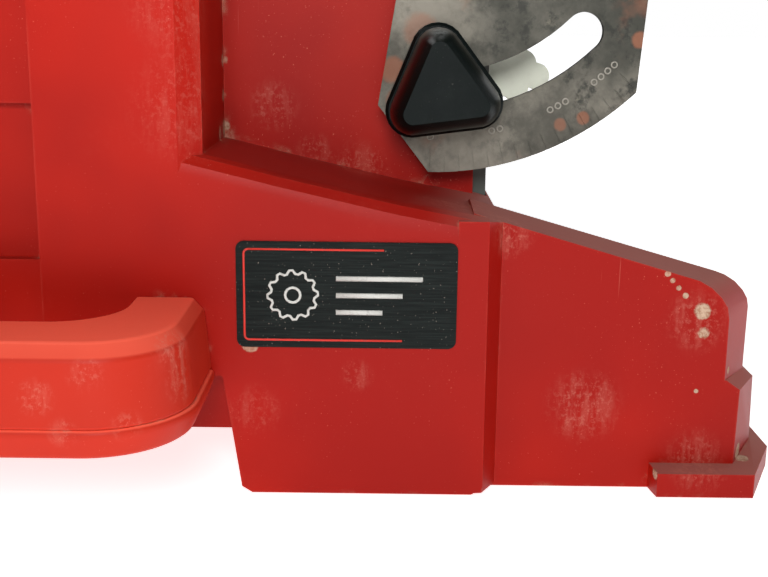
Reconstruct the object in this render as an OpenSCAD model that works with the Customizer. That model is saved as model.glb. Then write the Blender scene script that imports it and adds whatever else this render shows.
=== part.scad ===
// Bench-top rail saw for masonry and tile: two moulded end housings carry a water tub and a
// steel table, and a tilting gantry with a guide rail carries the sliding saw head.
// X runs along the cut, Y across it, Z up. The origin is on the floor under the middle.

/* [Base] */
// Distance from the middle of the machine to the outer face of each end housing
face_x = 500; // [480:1:540]
// Wall thickness of the moulded end housings
wall_t = 4; // [3:0.5:5]
// Height of the closed tops of the end housings
housing_top = 188.5; // [186:0.5:190]
// Depth of the swing recess in front of the clamping wall
recess_depth = 55; // [50:1:60]

/* [Carrying handles] */
// Reach of each carrying handle in front of the end face
grip_reach = 57; // [50:1:65]
// Free depth behind the grip bar, for the fingers
finger_gap = 30; // [26:1:34]
// Height of the top of the grip bar
grip_top = 63.5; // [60:0.5:70]

/* [Tub and table] */
// Half the length of the water tub
tub_half = 428; // [410:1:430]
// Wall thickness of the water tub
tub_t = 3; // [2:0.5:4]
// Thickness of the table sheets
sheet_t = 2; // [1.5:0.5:2]
// Width of the slot that the blade runs in
blade_slot = 10; // [9:0.5:11]

/* [Gantry] */
// Distance of the cutting plane and of the tilt axis from the middle
cut_y = 143.5; // [143:0.1:144]
// Radius of the scale edge about the tilt axis
fan_r = 94.1; // [93:0.1:95]
// Radius of the middle of the clamping slot about the tilt axis
slot_r = 68; // [67:0.5:69]
// Width of the clamping slot
slot_w = 12.5; // [12:0.1:13]
// Thickness of the gantry end plates
plate_t = 3; // [2.5:0.5:3]
// Width of the guide rail
rail_w = 50; // [48:1:52]
// Height of the guide rail
rail_h = 60; // [58:1:62]

/* [Saw head] */
// Place of the saw spindle along the rail when the head is parked
park_x = -190; // [-200:5:-180]
// Radius of the saw blade
blade_r = 100; // [90:1:100]
// Thickness of the saw blade
blade_t = 2.2; // [1.8:0.1:2.4]
// Radius of the motor casing
motor_r = 50; // [49:0.5:51]

/* [Angle stop] */
// Length of the angle stop arm from its pivot
stop_len = 200; // [150:5:220]
// Resting place of the angle stop along the fence
stop_y = -120; // [-125:1:-115]

/* [Hidden] */
$fn = 64;
eps = 0.01;
floor_gap = 0.8;
lip = 0.6;
foot_x = face_x - 45;
foot_ys = [-236, -120, 120, 236];
foot_r = 12;
foot_t = 4;

// Places along X, from the end face inwards
panel_x = face_x - 8;
middle_x = face_x - 12;
channel_x = face_x - 10;
pocket_x = face_x - 14;
outline_x = face_x - 28;
recess_x = face_x - recess_depth;
clamp_wall = 4;
steel_x = recess_x - clamp_wall;
steel_t = 4;
open_x = face_x - 85;
plate_x = recess_x + 9;

// Outlines of the end housing in (y, z)
rib_in = 25;
rib_out = 67;
rib_side = 73.5;
face_low = 38.7;
rib_low = 38;
block_foot = [[84.4, 2.8], [87.6, floor_gap], [156, floor_gap], [159.5, 3]];
shoulder = [[159.2, 87.4], [131.8, 92.5], [97, 100.3], [66.7, 107.6]];
panel_right = 163.9;
panel_front = [[224.8, 68.5], [228.7, 66.3], [232, 63.2], [234.1, 60.1], [234.8, 56.3], [235, 10]];
panel_back = [[230.1, 68.6], [235, 67.4], [238.3, 66.2], [241.7, 64.1], [244.5, 61.2],
              [246.1, 58.5], [246.6, 55.9], [246.3, 10]];
panel_fall = 16;
ledge_r = 7;
tier_front = [[235.5, 36.7], [239.9, 33.6], [239.5, 9]];
tier_back = [[246.1, 35.1], [250.1, 32.2], [250.6, 9]];
pad_in = 214;
pad_front = [244.3, 8.5];
pad_back = [257, 7.6];
pad_top = 10.5;
wall_right = 157.8;
strip_right = 162.5;
middle_low = 17.7;

// Carrying handle
bow_half = 75.7;
window_half = 53.5;
window_r = 19;
seam_z = 41.2;
lip_low = 32.8;

// Table and tilt axis
table_z = housing_top + sheet_t;
table_half = 429;
table_left = -215;
strip_edge = 164;
slot_y0 = cut_y - blade_slot * 0.55;
slot_y1 = slot_y0 + blade_slot;
lug_r = 18;
bolt_r = 5;
bush_r = 8;

// Clamp stud
stud_angle = 2;
stud_reach = 66.3;
stud_y = cut_y + stud_reach * sin(stud_angle);
stud_z = table_z - stud_reach * cos(stud_angle);
stud_r = 3;

// Tub
tub_y0 = -215;
tub_y1 = strip_right;
tub_z0 = 20;
tub_z1 = 184.2;
drain_x = -300;
drain_z = 40;
drain_r = 11;
pump_x = 300;
pump_y = -120;
pump_z = tub_z0 + tub_t;
impeller_r = 18;

// Gantry plate in (y, z), and the angles of its scale and slot from straight down
arm_right = [[211.2, 152.4], [213, 178], [175, 235], [130, 330], [124, 405]];
arm_left = [[52, 405], [52, 325], [105, 230], [131, 170], [130.7, 151.4], [125.3, 118.1]];
fan_step = 3;
fan_a0 = -0.85;
fan_a1 = 44.3;
slot_a0 = -1;
slot_a1 = 44.75;
tick_from = -0.65;
tick_long = 8.3;
tick_short = 5.5;
scale_depth = 0.35;

// Tilt knob
knob_x0 = plate_x + plate_t + 1.8;
knob_h = 22;
knob_turn = 7.7;
knob_corner = 11.9;
knob_lobe = 8.7;

// Guide rail and carriage
rail_y = 62;
rail_z = 335;
rail_wall = 3.5;
rail_port = 6;
carriage_wall = 12;
room = 20;
carriage_x0 = park_x - 155;
carriage_x1 = park_x + 75;
carriage_y0 = rail_y - carriage_wall;
carriage_y1 = rail_y + rail_w + carriage_wall;
side_gap = 2;
roller_r = 9.5;
roller_gap = 0.3;
roller_z = rail_z + rail_h + roller_gap + roller_r;
roller_xs = [park_x - 120, park_x + 50];
pin_r = 4;
run_fit = 0.05;
depth_x = carriage_x0 + 9;
depth_y = 160;
lock_x = park_x - 35;
lock_y = rail_y + rail_w / 2;

// Saw head
spindle_z = table_z + 90;
swing_x = park_x - 125;
swing_z = 330;
swing_r = 6;
arm_y0 = 154;
arm_y1 = 166;
guard_r = blade_r + 8;
guard_y0 = 127;
guard_t = 2;
guard_low = spindle_z - 30;
motor_end = 226;
cap_end = 246;
shaft_r = 6;
bearing_r = 13;
rear_bearing_r = 11;
handle_z0 = 352;
handle_z1 = 438;
handle_half = 58;
nozzle_off = 46;
nozzle_x = park_x + nozzle_off;
nozzle_z = spindle_z + sqrt(guard_r * guard_r - nozzle_off * nozzle_off);
box_z0 = spindle_z + motor_r + 4;
box_z1 = box_z0 + 22;
button_ys = [196, 214];
button_r = 7;

// Fence and angle stop
fence_x0 = -400;
fence_x1 = -382;
fence_y0 = -205;
fence_y1 = 128;
fence_h = 24.5;
fit = 0.3;
stop_x = -362;

// ---------------------------------------------------------------- helpers

// Extrudes a (y, z) outline along X from x0 to x1
module along_x(x0, x1) {
    translate([x0, 0, 0]) rotate([90, 0, 90]) linear_extrude(x1 - x0) children();
}

// Extrudes an (x, z) outline along Y from y0 to y1
module along_y(y0, y1) {
    translate([0, y1, 0]) rotate([90, 0, 0]) linear_extrude(y1 - y0) children();
}

// Box between two corners
module block(low, high) {
    translate(low) cube(high - low);
}

module rod_x(x0, x1, y, z, r) {
    along_x(x0, x1) translate([y, z]) circle(r);
}

module rod_y(y0, y1, x, z, r) {
    along_y(y0, y1) translate([x, z]) circle(r);
}

module rod_z(z0, z1, x, y, r) {
    translate([x, y, z0]) cylinder(h = z1 - z0, r = r);
}

// Rounded rectangle between two corners
module round_rect(low, high, r) {
    translate([low.x + r, low.y]) square([high.x - low.x - 2 * r, high.y - low.y]);
    translate([low.x, low.y + r]) square([high.x - low.x, high.y - low.y - 2 * r]);
    for (x = [low.x + r, high.x - r], y = [low.y + r, high.y - r])
        translate([x, y]) circle(r);
}

// Draws a piece of the +X end and its mirror image at the -X end
module both_ends() {
    children();
    mirror([1, 0, 0]) children();
}

function reversed(points) = [for (i = [len(points) - 1:-1:0]) points[i]];
// Point at an angle from straight down about the tilt axis, in (y, z)
function fan_point(r, a) = [cut_y + r * sin(a), table_z - r * cos(a)];

// ---------------------------------------------------------------- end housings

// Block with a front face and a wider back outline, joined by a bevel, then run back to x_back
// with its top falling by fall
module beveled(front, back, x_front, x_bevel, x_back, inset, fall = 0) {
    hull() {
        slice(front, x_front, inset);
        slice(back, x_bevel, inset);
    }
    hull() {
        slice(back, x_bevel, inset);
        along_x(x_back, x_back + lip) offset(delta = -inset) polygon(fallen(back, fall));
    }
}

// Thin slice of an outline, moved in by inset on every side
module slice(points, x, inset) {
    along_x(x - inset - lip, x - inset) offset(delta = -inset) polygon(points);
}

// Outline with its points lowered by d, but never under the floor gap
function fallen(points, d) = [for (p = points) [p.x, max(floor_gap, p.y - d)]];

// Face block with the name plate (low = true) or its tall counterpart
module face_block(low, inset, x_back) {
    top = low ? shoulder : [[159.2, housing_top], [66.7, housing_top], [60, housing_top]];
    under = low ? 80 : 150;
    points = concat([[60, face_low], [79, face_low]], block_foot, [[159.2, under], [60, under]]);
    along_x(x_back, face_x - inset) offset(delta = -inset) polygon(points);
    // Upper part with a rounded front edge
    for (i = [0:len(top) - 2]) {
        part = [[top[i + 1].x, under - 2 * wall_t - 1], [top[i].x, under - 2 * wall_t - 1], top[i],
                top[i + 1]];
        hull() for (a = [0:30:90])
            shoulder_slice(part, face_x - ledge_r * (1 - sin(a)), low ? ledge_r * (1 - cos(a)) : 0,
                           inset, a == 0 ? x_back : face_x - ledge_r * (1 - sin(a)) - lip);
    }
}

// Slice of the upper part, with its top lowered by drop
module shoulder_slice(part, x, drop, inset, x_back) {
    along_x(x_back - (x_back > open_x ? inset : 0), x - inset) intersection() {
        polygon([part[0], part[1], part[2] - [0, drop + inset], part[3] - [0, drop + inset]]);
        translate([60 + inset, 0]) square([99.2 - 2 * inset, 300]);
    }
}

// Slanted step between the face block and the side panel
module side_step(top_in, top_out) {
    intersection() {
        linear_extrude(housing_top)
            polygon([[open_x, 150], [face_x, 150], [face_x, 159.2], [panel_x, panel_right],
                     [open_x, panel_right]]);
        along_x(open_x, face_x)
            polygon([[150, floor_gap], [panel_right, floor_gap + 1], [panel_right, top_out],
                     [159.2, top_in], [150, top_in]]);
    }
}

// Stepped side panel with its lower tier, on the +Y side
module side_panel(low, inset, x_back) {
    top_front = low ? concat([[155, 88.6]], panel_front)
                    : [[155, housing_top], [222, housing_top], [234.8, 56.3], [235, 10]];
    top_back = low ? concat([[155, 90]], panel_back)
                   : [[155, housing_top], [233, housing_top], [246.6, 55.9], [246.3, 10]];
    beveled(concat([[155, floor_gap]], [[235, floor_gap]], reversed(top_front)),
            concat([[155, floor_gap]], [[246.3, floor_gap]], reversed(top_back)),
            panel_x, outline_x, x_back, inset, low ? panel_fall : 0);
    beveled(concat([[200, floor_gap], [239.5, floor_gap]], reversed(tier_front), [[200, 36.7]]),
            concat([[200, floor_gap], [250.6, floor_gap]], reversed(tier_back), [[200, 35.1]]),
            panel_x, outline_x, x_back, inset);
}

// Flared foot pad under the side panel
module foot_pad() {
    front = [[pad_in, floor_gap], [pad_front.x, floor_gap], pad_front, [pad_in, pad_front.y]];
    back = [[pad_in - 4, floor_gap], [pad_back.x, floor_gap], pad_back, [251, pad_top],
            [pad_in - 4, pad_top]];
    beveled(front, back, face_x, outline_x, open_x, 0);
}

// Ribs, channel and face shared by the outside and the hollow
module housing_mass(inset, x_back) {
    for (side = [0, 1]) mirror([0, side, 0]) {
        translate([0, 0, rib_low + inset])
            linear_extrude(housing_top - rib_low - 2 * inset)
                polygon([[x_back, rib_in - inset], [face_x - inset, rib_in + inset],
                         [face_x - inset, rib_out - inset], [face_x - 6, rib_side - inset],
                         [x_back, rib_side - inset]]);
        face_block(side == 0, inset, x_back);
        side_panel(side == 0, inset, x_back);
    }
    channel_front = inset > 0 ? pocket_x - inset : channel_x;
    block([x_back, -rib_in - 1, face_low + inset], [channel_front, rib_in + 1, housing_top - inset]);
    block([x_back, -86 + inset, middle_low + inset], [middle_x - inset, 86 - inset, face_low + 8]);
}

// Wall that the gantry plate is clamped against, with its lug round the tilt axis
module clamp_wall_solid() {
    along_x(steel_x, recess_x) {
        polygon([[71, 100], [wall_right, 83], [wall_right, housing_top - 2],
                 [71, housing_top - 2]]);
        translate([cut_y, table_z]) circle(lug_r);
    }
    // Pointer for the tilt scale
    along_x(recess_x - 1, recess_x + 0.8)
        polygon([fan_point(96.5, tick_from), fan_point(102, tick_from - 1.6),
                 fan_point(102, tick_from + 1.6)]);
}

module end_housing() {
    difference() {
        union() {
            difference() {
                union() {
                    housing_mass(0, open_x);
                    side_step(87.4, 86);
                    mirror([0, 1, 0]) side_step(housing_top, housing_top);
                }
                housing_mass(wall_t, open_x - 1);
                // Pocket between the ribs
                block([pocket_x, -rib_in + 1, 72.3], [face_x, rib_in - 1, 119.9]);
                // Swing recess above the shoulder
                block([recess_x, rib_side, 110], [face_x + 1, 300, 300]);
            }
            for (side = [0, 1]) mirror([0, side, 0]) foot_pad();
            clamp_wall_solid();
        }
        // Room for the tub, and for the steel plate behind the clamping wall
        block([0, tub_y0 - 1, tub_z0 - 0.5], [tub_half + 1, tub_y1 + 0.7, tub_z1 + 0.3]);
        block([0, 110, 80], [steel_x, tub_y1 + 0.7, 300]);
        block([0, rib_side, 170], [steel_x, tub_y1 + 0.7, 300]);
        rod_x(steel_x - 1, recess_x + 1, cut_y, table_z, bush_r + 0.6);
        rod_x(steel_x - 1, recess_x + 2, stud_y, stud_z, stud_r + 0.4);
        for (y = foot_ys) rod_z(-1, foot_t + 0.1, foot_x, y, foot_r + 0.2);
    }
}

module end_housing_right() {
    color("#b8201a") end_housing();
}

module end_housing_left() {
    color("#b8201a") mirror([1, 0, 0]) end_housing();
}

module rubber_feet() {
    color("#202020") both_ends() for (y = foot_ys) rod_z(0, foot_t, foot_x, y, foot_r);
}

// ---------------------------------------------------------------- carrying handles

// Plan of the bow, grown by d, as quarter circles at the outer corners
module bow(d, reach, r) {
    half = bow_half + d;
    translate([face_x, -half]) square([reach - r, 2 * half]);
    translate([face_x, -half + r]) square([reach, 2 * half - 2 * r]);
    for (side = [-1, 1]) translate([face_x + reach - r, side * (half - r)]) circle(r);
}

module finger_window(d) {
    half = window_half + d;
    r = window_r;
    translate([face_x - 1, -half]) square([finger_gap + 1 + d - r, 2 * half]);
    translate([face_x - 1, -half + r]) square([finger_gap + 1 + d, 2 * half - 2 * r]);
    for (side = [-1, 1]) translate([face_x + finger_gap + d - r, side * (half - r)]) circle(r);
}

module carry_handle() {
    difference() {
        hull() {
            translate([0, 0, seam_z]) linear_extrude(1) bow(0, grip_reach, 26);
            translate([0, 0, grip_top - 5]) linear_extrude(1) bow(-1.6, grip_reach - 2, 25);
            translate([0, 0, grip_top - 1]) linear_extrude(1) bow(-5, grip_reach - 6, 23);
        }
        translate([0, 0, -1]) linear_extrude(100) finger_window(0);
        // Hollow moulding, open below
        difference() {
            translate([0, 0, seam_z - 1]) linear_extrude(grip_top - seam_z - 3.5)
                difference() {
                    bow(-5.5, grip_reach - 5.5, 21);
                    finger_window(3.5);
                }
            block([face_x - 1, -100, 0], [face_x + 3.5, 100, 100]);
        }
    }
}

// Cover that closes the handle from below, with a bevelled lip that stands proud of the seam
module handle_cover() {
    edge_z = seam_z - 2.5;
    difference() {
        hull() {
            translate([0, 0, edge_z]) linear_extrude(seam_z - edge_z) bow(1, grip_reach, 27);
            translate([0, 0, lip_low]) linear_extrude(0.5) bow(-1.2, grip_reach - 1.5, 26);
        }
        translate([0, 0, lip_low - 1]) linear_extrude(seam_z) finger_window(-1.5);
        translate([0, 0, lip_low - 1]) linear_extrude(seam_z - lip_low - 1.4)
            difference() {
                bow(-4.5, grip_reach - 5, 22);
                finger_window(3);
                translate([face_x - 1, -100]) square([5, 200]);
            }
    }
}

module carry_handle_right() {
    color("#c8281e") carry_handle();
}

module carry_handle_left() {
    color("#c8281e") mirror([1, 0, 0]) carry_handle();
}

module carry_handle_covers() {
    color("#b8201a") both_ends() handle_cover();
}

// Plain plate on the face block, with rounded corners
module name_plate() {
    color("#181818") along_x(face_x, face_x + 0.5) round_rect([83.6, 48.2], [150, 80.9], 2.5);
}

// ---------------------------------------------------------------- tub, rails and table

// Steel channels that tie the two housings together under the tub
module base_rails() {
    color("#303234")
        for (side = [-1, 1]) difference() {
            block([-face_x + 14, side * 120 - 16, 5], [face_x - 14, side * 120 + 16, tub_z0]);
            block([-face_x, side * 120 - 13.5, 4], [face_x, side * 120 + 13.5, tub_z0 - 2.5]);
        }
}

module water_tub() {
    panels = 5;
    panel_w = 146;
    pitch = 162;
    color("#26292b") difference() {
        block([-tub_half, tub_y0, tub_z0], [tub_half, tub_y1, tub_z1]);
        block([-tub_half + tub_t, tub_y0 + tub_t, tub_z0 + tub_t],
              [tub_half - tub_t, tub_y1 - tub_t, tub_z1 + 1]);
        // Shallow moulded panels along both sides
        for (i = [0:panels - 1]) {
            x = (i - (panels - 1) / 2) * pitch;
            block([x - panel_w / 2, tub_y0 - 1, 60], [x + panel_w / 2, tub_y0 + 1.2, 150]);
            block([x - panel_w / 2, tub_y1 - 1.2, 60], [x + panel_w / 2, tub_y1 + 1, 150]);
        }
        rod_y(tub_y0 - 1, tub_y0 + tub_t + 1, drain_x, drain_z, drain_r);
    }
}

module drain_plug() {
    color("#303030") {
        rod_y(tub_y0 - 4, tub_y0, drain_x, drain_z, drain_r + 5);
        rod_y(tub_y0, tub_y0 + 8, drain_x, drain_z, drain_r);
        difference() {
            rod_y(tub_y0 - 8, tub_y0 - 4, drain_x, drain_z, 7);
            rod_y(tub_y0 - 9, tub_y0 - 5.5, drain_x, drain_z, 4.5);
        }
    }
}

module pump_housing() {
    color("#1c1e20") difference() {
        union() {
            block([pump_x - 30, pump_y - 26, pump_z], [pump_x + 30, pump_y + 26, pump_z + 52]);
            rod_z(pump_z + 52, pump_z + 60, pump_x, pump_y, 14);
            rod_z(pump_z + 60, pump_z + 80, pump_x, pump_y, 4);
        }
        rod_z(pump_z + 6, pump_z + 22, pump_x, pump_y, impeller_r + 3);
        rod_z(pump_z - 1, pump_z + 7, pump_x, pump_y, 9);
        rod_z(pump_z + 20, pump_z + 44, pump_x, pump_y, 2.5 + run_fit);
        // Water way from the impeller chamber up to the spigot
        rod_z(pump_z + 18, pump_z + 81, pump_x + 16, pump_y, 0.9);
        rod_z(pump_z + 48, pump_z + 81, pump_x, pump_y, 2.5);
        for (i = [-3:3]) block([pump_x + i * 8 - 1.5, pump_y - 30, pump_z - 1],
                               [pump_x + i * 8 + 1.5, pump_y + 30, pump_z + 3]);
    }
}

module pump_impeller() {
    color("#d8d8d0") {
        rod_z(pump_z + 8, pump_z + 43, pump_x, pump_y, 2.5);
        rod_z(pump_z + 17, pump_z + 20, pump_x, pump_y, impeller_r);
        for (a = [0:60:300]) translate([pump_x, pump_y, pump_z + 9]) rotate([0, 0, a])
            translate([2, -1, 0]) cube([impeller_r - 3, 2, 8 + eps]);
    }
}

// Main sheet of the table with a turned-down front edge
module table_main() {
    color("#9a9c9a") {
        block([-table_half, table_left, housing_top], [table_half, slot_y0, table_z]);
        block([-open_x + 2, table_left - 2.6, table_z - 26], [open_x - 2, table_left - 0.6, table_z]);
        block([-open_x + 2, table_left - 1, housing_top], [open_x - 2, table_left + 1, table_z]);
    }
}

// Narrow sheet beyond the blade slot
module table_strip() {
    color("#9a9c9a") {
        block([-table_half, slot_y1, housing_top], [table_half, strip_edge, table_z]);
        block([-open_x + 2, strip_edge, table_z - 20], [open_x - 2, strip_edge + 2, table_z]);
    }
}

// T-shaped stiffeners under the sheets
module table_bearers() {
    color("#4a4c4e") {
        bearer(82, 94, table_half - 1);
        bearer(152, 162, table_half - 1);
        bearer(-211, -199, open_x - 2);
    }
}

module bearer(y0, y1, half) {
    mid = (y0 + y1) / 2;
    block([-half, y0, tub_z1], [half, y1, housing_top]);
    block([-tub_half + 5, mid - 1.5, tub_z1 - 24], [tub_half - 5, mid + 1.5, tub_z1 + eps]);
}

// ---------------------------------------------------------------- tilt bearings

module pivot_plates() {
    color("#232628") both_ends() difference() {
        along_x(steel_x - steel_t, steel_x) {
            translate([120, 84]) square([strip_right - 120, 96]);
            translate([cut_y, table_z]) circle(lug_r);
        }
        rod_x(steel_x - 6, steel_x + 1, cut_y, table_z, bush_r);
        rod_x(steel_x - 6, steel_x + 1, stud_y, stud_z, stud_r);
    }
}

module pivot_bushes() {
    color("#b08a4a") both_ends() difference() {
        rod_x(steel_x - steel_t, plate_x - 0.2, cut_y, table_z, bush_r);
        rod_x(steel_x - 6, plate_x, cut_y, table_z, bolt_r + run_fit);
    }
}

module clamp_studs() {
    color("#a8a8a4") both_ends() {
        rod_x(steel_x - steel_t, plate_x + 20, stud_y, stud_z, stud_r);
        along_x(steel_x - steel_t - 5, steel_x - steel_t)
            translate([stud_y, stud_z]) circle(5.8, $fn = 6);
    }
}

// Zinc stop cast with rounded lobes, on the inner side of the steel plate
module tilt_stops() {
    color("#b4b4ae") both_ends() along_x(steel_x - steel_t - 6, steel_x - steel_t) {
        translate([152, 120]) square([22, 14]);
        translate([174, 131]) circle(5);
        translate([179, 127]) circle(4.5);
        translate([172, 123]) circle(4.5);
    }
}

// ---------------------------------------------------------------- gantry

// Curved slot as an arc band with round ends
module arc_slot() {
    translate([cut_y, table_z]) rotate([0, 0, slot_a0 - 90]) sector(slot_a1 - slot_a0);
    for (a = [slot_a0, slot_a1]) translate(fan_point(slot_r, a)) circle(slot_w / 2);
}

// Part of a ring over an angle a, from the x axis on
module sector(a) {
    reach = 2 * fan_r;
    intersection() {
        difference() {
            circle(slot_r + slot_w / 2);
            circle(slot_r - slot_w / 2);
        }
        polygon([[0, 0], [reach, 0], [reach * cos(a), reach * sin(a)]]);
    }
}

module plate_outline() {
    fan_parts = 60;
    fan = [for (i = [0:fan_parts]) fan_point(fan_r, fan_a0 + (fan_a1 - fan_a0) * i / fan_parts)];
    polygon(concat(fan, arm_right, arm_left));
}

module gantry_plate() {
    difference() {
        along_x(plate_x, plate_x + plate_t) plate_outline();
        along_x(plate_x - 1, plate_x + plate_t + 1) arc_slot();
        rod_x(plate_x - 1, plate_x + plate_t + 1, cut_y, table_z, bolt_r);
        for (p = rail_ports()) rod_x(plate_x - 1, plate_x + plate_t + 1, p.x, p.y, stud_r);
        // Weight saving window in the upper arm
        along_x(plate_x - 1, plate_x + plate_t + 1)
            polygon([[118, 250], [146, 250], [116, 314], [88, 314]]);
        // Engraved ticks every 3 degrees, longer every 15
        for (i = [0:15]) translate([plate_x + plate_t - scale_depth, cut_y, table_z])
            rotate([tick_from + i * fan_step, 0, 0]) {
                len = i % 5 == 0 ? tick_long : tick_short;
                translate([0, -0.25, -fan_r - 0.5]) cube([1, 0.5, len + 0.5]);
            }
    }
}

module gantry_plate_right() {
    color("#8e8c84") gantry_plate();
}

module gantry_plate_left() {
    color("#8e8c84") mirror([1, 0, 0]) gantry_plate();
}

function rail_ports() = [
    for (y = [rail_y + rail_port + 1, rail_y + rail_w - rail_port - 1],
         z = [rail_z + rail_port + 1, rail_z + rail_h - rail_port - 1]) [y, z]
];

module guide_rail() {
    y1 = rail_y + rail_w;
    z1 = rail_z + rail_h;
    color("#b8bcc0") along_x(-plate_x, plate_x) difference() {
        translate([rail_y, rail_z]) square([rail_w, rail_h]);
        difference() {
            translate([rail_y + rail_wall, rail_z + rail_wall])
                square([rail_w - 2 * rail_wall, rail_h - 2 * rail_wall]);
            for (p = rail_ports()) translate(p) circle(rail_port);
        }
        for (p = rail_ports()) translate(p) circle(stud_r);
        // Grooves in both flanks
        for (y = [rail_y - 1, y1 - 1]) translate([y, (rail_z + z1) / 2 - 4]) square([2, 8]);
    }
}

module gantry_bolts() {
    color("#909090") both_ends() for (p = rail_ports()) {
        rod_x(plate_x - 25, plate_x + plate_t, p.x, p.y, stud_r);
        difference() {
            rod_x(plate_x + plate_t, plate_x + plate_t + 5, p.x, p.y, 5);
            along_x(plate_x + plate_t + 2, plate_x + plate_t + 6)
                translate(p) circle(2.9, $fn = 6);
        }
    }
}

// Tilt axis bolts with their lock nuts
module pivot_bolts() {
    nut_x = steel_x - steel_t - 0.2;
    color("#a0a09c") both_ends() {
        rod_x(nut_x, plate_x + plate_t, cut_y, table_z, bolt_r);
        along_x(plate_x + plate_t, plate_x + plate_t + 6.4)
            translate([cut_y, table_z]) circle(9.8, $fn = 6);
        along_x(nut_x - 6.6, nut_x) translate([cut_y, table_z]) circle(8.5, $fn = 6);
    }
}

// ---------------------------------------------------------------- tilt knobs

// Three-lobed outline grown by d, from height h0 to height h1 of the knob
module lobes(h0, h1, d) {
    for (a = [90:120:330])
        rod_x(knob_x0 + h0, knob_x0 + h1, stud_y + knob_corner * cos(a + knob_turn),
              stud_z + knob_corner * sin(a + knob_turn), knob_lobe + d, $fn = 24);
}

module tilt_knob() {
    difference() {
        union() {
            // Skirt
            hull() {
                lobes(1, 5, 0);
                lobes(0, 6, -1);
            }
            // Body with a domed front
            hull() {
                lobes(4, knob_h * 0.55, -1.5);
                lobes(4, knob_h * 0.76, -2.5);
                lobes(4, knob_h * 0.9, -3.8);
                lobes(4, knob_h, -5.6);
            }
            // Washer bearing on the plate
            rod_x(knob_x0 - 1.6, knob_x0 + 2, stud_y, stud_z, 9);
        }
        rod_x(knob_x0 - 3, plate_x + 20, stud_y, stud_z, stud_r + run_fit);
    }
}

module tilt_knob_right() {
    color("#0e1416") tilt_knob();
}

module tilt_knob_left() {
    color("#0e1416") mirror([1, 0, 0]) tilt_knob();
}

// ---------------------------------------------------------------- carriage

module carriage_frame() {
    z0 = rail_z - room;
    z1 = rail_z + rail_h + room;
    color("#c8281e") difference() {
        union() {
            block([carriage_x0, carriage_y0, z0 - 4], [carriage_x1, carriage_y1, z1 + 4]);
            rod_y(carriage_y1 - 1, arm_y0 - 0.3, swing_x, swing_z, 14);
            // Bracket over the tail of the head arm
            block([carriage_x0, carriage_y1 - 1, 352], [carriage_x0 + 19, arm_y1 + 2, 360]);
        }
        block([carriage_x0 - 1, rail_y - side_gap, z0], [carriage_x1 + 1, rail_y + rail_w + side_gap, z1]);
        for (x = roller_xs) rod_y(carriage_y0 - 1, carriage_y1 + 1, x, roller_z, pin_r);
        rod_y(carriage_y1 - 6, arm_y0, swing_x, swing_z, swing_r);
        rod_z(350, 362, depth_x, depth_y, stud_r + run_fit);
        rod_z(z1 - 1, z1 + 5, lock_x, lock_y, pin_r + run_fit);
    }
}

module roller_pins() {
    color("#a0a4a6") for (x = roller_xs) rod_y(carriage_y0, carriage_y1, x, roller_z, pin_r);
}

module roller(x) {
    difference() {
        rod_y(rail_y + 3, rail_y + rail_w - 3, x, roller_z, roller_r);
        rod_y(rail_y, rail_y + rail_w, x, roller_z, pin_r + run_fit);
    }
}

module roller_rear() {
    color("#c8ccd0") roller(roller_xs[0]);
}

module roller_front() {
    color("#c8ccd0") roller(roller_xs[1]);
}

// Low-friction pads under the rail and beside it
module glide_pads() {
    pad_len = 30;
    color("#e8e8e0") for (x = [roller_xs[0] - pad_len / 2, roller_xs[1] - pad_len / 2]) {
        block([x, rail_y + 5, rail_z - room], [x + pad_len, rail_y + rail_w - 5, rail_z - roller_gap]);
        block([x, rail_y - side_gap, rail_z + 6],
              [x + pad_len, rail_y - roller_gap, rail_z + 22]);
        block([x, rail_y + rail_w + roller_gap, rail_z + 6],
              [x + pad_len, rail_y + rail_w + side_gap, rail_z + 22]);
    }
}

// Fluted hand knob on a stud, along Z
module hand_knob(x, y, z, r, h, tip, stud) {
    flutes = 6;
    difference() {
        rod_z(z, z + h, x, y, r);
        for (a = [0:360 / flutes:359])
            rod_z(z - 1, z + h + 1, x + (r + 2.5) * cos(a), y + (r + 2.5) * sin(a), 5);
    }
    rod_z(z + h, z + h + 2, x, y, r * 0.55);
    rod_z(tip, z, x, y, stud);
}

module carriage_lock_knob() {
    top = rail_z + rail_h + room + 4;
    color("#121416") hand_knob(lock_x, lock_y, top + 1, 15, 15, rail_z + rail_h + 0.4, pin_r);
}

module head_pivot_pin() {
    color("#a0a4a6") {
        rod_y(carriage_y1 - 6, arm_y1 + 0.5, swing_x, swing_z, swing_r);
        rod_y(arm_y1 + 0.5, arm_y1 + 4, swing_x, swing_z, 9);
    }
}

module depth_stop_screw() {
    color("#202224") hand_knob(depth_x, depth_y, 366, 8.5, 12, 339.4, stud_r);
}

// ---------------------------------------------------------------- saw head

module head_arm() {
    color("#9a9ea2") difference() {
        union() {
            along_y(arm_y0, arm_y1) {
                translate([park_x, 0]) polygon([
                    [-153, 336], [-153, 324], [-122, 316], [-70, 268], [-30, 240], [30, 240], [56, 300],
                    [56, handle_z0], [-56, handle_z0], [-100, 343], [-125, 344]
                ]);
                translate([park_x, spindle_z]) circle(motor_r);
                translate([swing_x, swing_z]) circle(14);
            }
        }
        rod_y(arm_y0 - 1, arm_y1 + 1, swing_x, swing_z, swing_r + run_fit);
        rod_y(arm_y0 - 1, arm_y1 + 1, park_x, spindle_z, shaft_r + 2);
        rod_y(arm_y0 + 3, arm_y1 + 1, park_x, spindle_z, bearing_r);
        // Lightening pocket beside the motor
        along_y(arm_y1 - 6, arm_y1 + 1) translate([park_x, 0])
            polygon([[-108, 330], [-78, 300], [-62, 300], [-62, 336], [-100, 336]]);
        for (p = motor_screw_points()) rod_y(arm_y0 - 1, arm_y1 + 1, p.x, p.y, 2);
    }
}

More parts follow.
